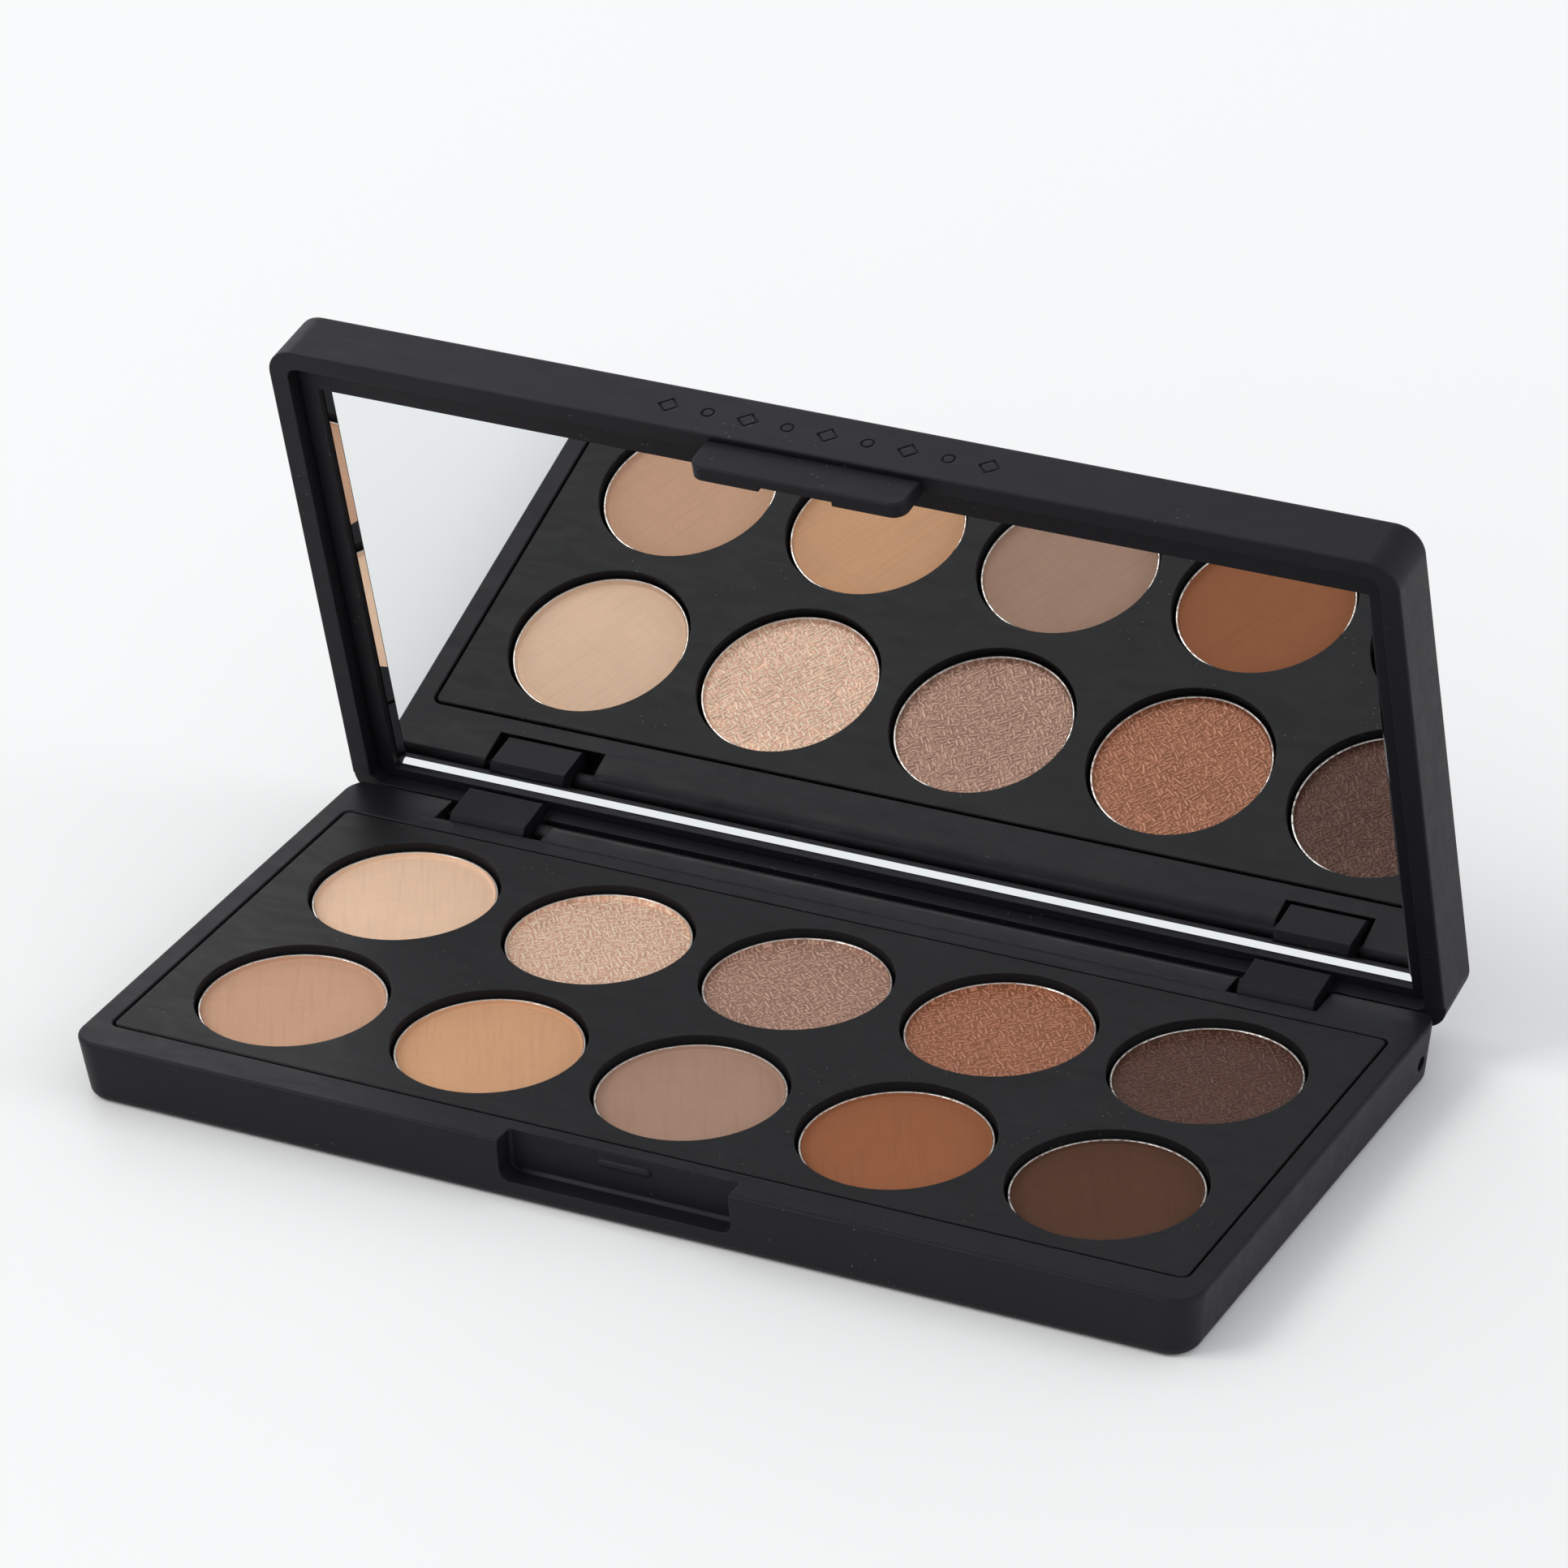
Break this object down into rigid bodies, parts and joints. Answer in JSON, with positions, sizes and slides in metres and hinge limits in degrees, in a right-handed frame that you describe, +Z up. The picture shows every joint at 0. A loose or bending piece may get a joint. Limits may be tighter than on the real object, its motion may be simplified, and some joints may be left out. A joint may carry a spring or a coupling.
{
  "type": "makeup palette",
  "caption": "Flat rectangular makeup palette: round pans of pressed powder in rows, in a black case whose mirrored lid stands open on a rear pin hinge.",
  "frame": {"origin": "centre of the case's flat underside", "axes": "+X along the long side towards the right-hand end seen from the front, -Y towards the latch, +Z up; the lid is open at its rest angle"},
  "size_m": [0.169, 0.0883, 0.0847],
  "materials": {
    "case_plastic": "soft matt black, faintly satin",
    "plate_plastic": "matt black",
    "tinplate": "pressed tinplate, bright on the rim",
    "pin_steel": "drawn steel",
    "glue": "set glue",
    "tape": "double-sided foam tape",
    "mirror_silver": "silvered glass with a bevelled edge",
    "powder_soft_tan": "pressed powder, matt",
    "powder_warm_sand": "pressed powder, matt",
    "powder_taupe": "pressed powder, matt",
    "powder_rust_brown": "pressed powder, matt",
    "powder_dark_brown": "pressed powder, matt",
    "powder_pale_ivory": "pressed powder, matt",
    "powder_light_sand": "pressed powder, pearly with a fine embossed grain",
    "powder_rose_taupe": "pressed powder, pearly with a fine embossed grain",
    "powder_copper_brown": "pressed powder, pearly with a fine embossed grain",
    "powder_deep_plum_brown": "pressed powder, pearly with a fine embossed grain"
  },
  "bodies": {
    "base": {"base_shell": "case_plastic", "tray_plate": "plate_plastic", "pan_glue_dots": "glue", "hinge_pin_left": "pin_steel", "hinge_pin_right": "pin_steel", "pan_front_1": "tinplate", "shade_front_1": "powder_soft_tan", "pan_front_2": "tinplate", "shade_front_2": "powder_warm_sand", "pan_front_3": "tinplate", "shade_front_3": "powder_taupe", "pan_front_4": "tinplate", "shade_front_4": "powder_rust_brown", "pan_front_5": "tinplate", "shade_front_5": "powder_dark_brown", "pan_back_1": "tinplate", "shade_back_1": "powder_pale_ivory", "pan_back_2": "tinplate", "shade_back_2": "powder_light_sand", "pan_back_3": "tinplate", "shade_back_3": "powder_rose_taupe", "pan_back_4": "tinplate", "shade_back_4": "powder_copper_brown", "pan_back_5": "tinplate", "shade_back_5": "powder_deep_plum_brown"},
    "lid": {"lid_shell": "case_plastic", "latch_tab": "case_plastic", "mirror_insert": "case_plastic", "mirror_glass": "mirror_silver", "mirror_tape": "tape"}
  },
  "joints": [
    {"name": "lid_hinge", "type": "hinge", "parent": "base", "child": "lid", "pos_m": [0, 0.03745, 0.00735], "axis": [-1, 0, 0], "range_deg": [-79.5, 20]}
  ]
}
